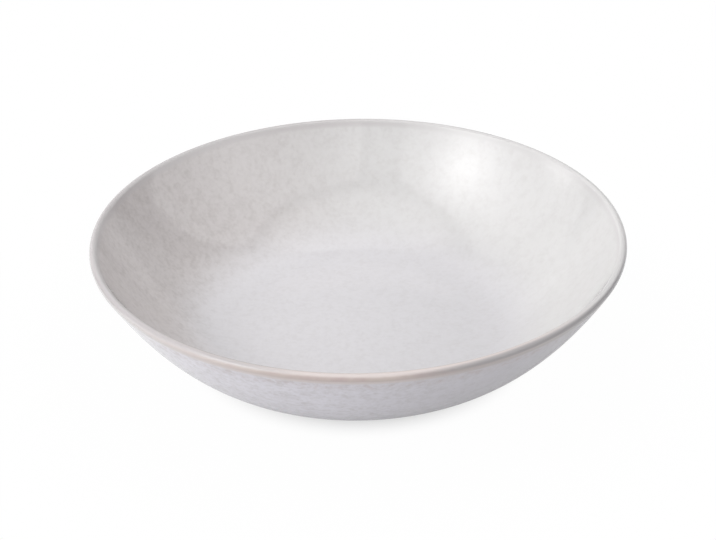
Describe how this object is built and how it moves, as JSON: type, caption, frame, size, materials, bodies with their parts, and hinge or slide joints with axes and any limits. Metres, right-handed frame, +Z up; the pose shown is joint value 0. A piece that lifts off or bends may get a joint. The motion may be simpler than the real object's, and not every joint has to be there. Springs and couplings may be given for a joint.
{
  "type": "soup plate",
  "caption": "Rimless round soup plate with a deep curved wall, a flat well floor, a rounded lip and a low foot ring.",
  "frame": {"origin": "on the table, under the middle of the plate", "axes": "+Z up, along the plate's axis of rotation; X and Y are alike"},
  "size_m": [0.22, 0.22, 0.052],
  "materials": {
    "bare_clay": "unglazed fired stoneware, matt",
    "speckled_glaze": "glossy off-white glaze with fine beige-grey speckle",
    "rim_glaze": "thin glossy glaze that breaks pinkish brown over the lip",
    "outer_glaze": "glossy off-white glaze, brown specks below the lip"
  },
  "bodies": {
    "root": {"stoneware_body": "bare_clay", "inner_glaze": "speckled_glaze", "rim_glaze": "rim_glaze", "outer_glaze": "outer_glaze", "foot_recess_glaze": "speckled_glaze"}
  },
  "joints": []
}
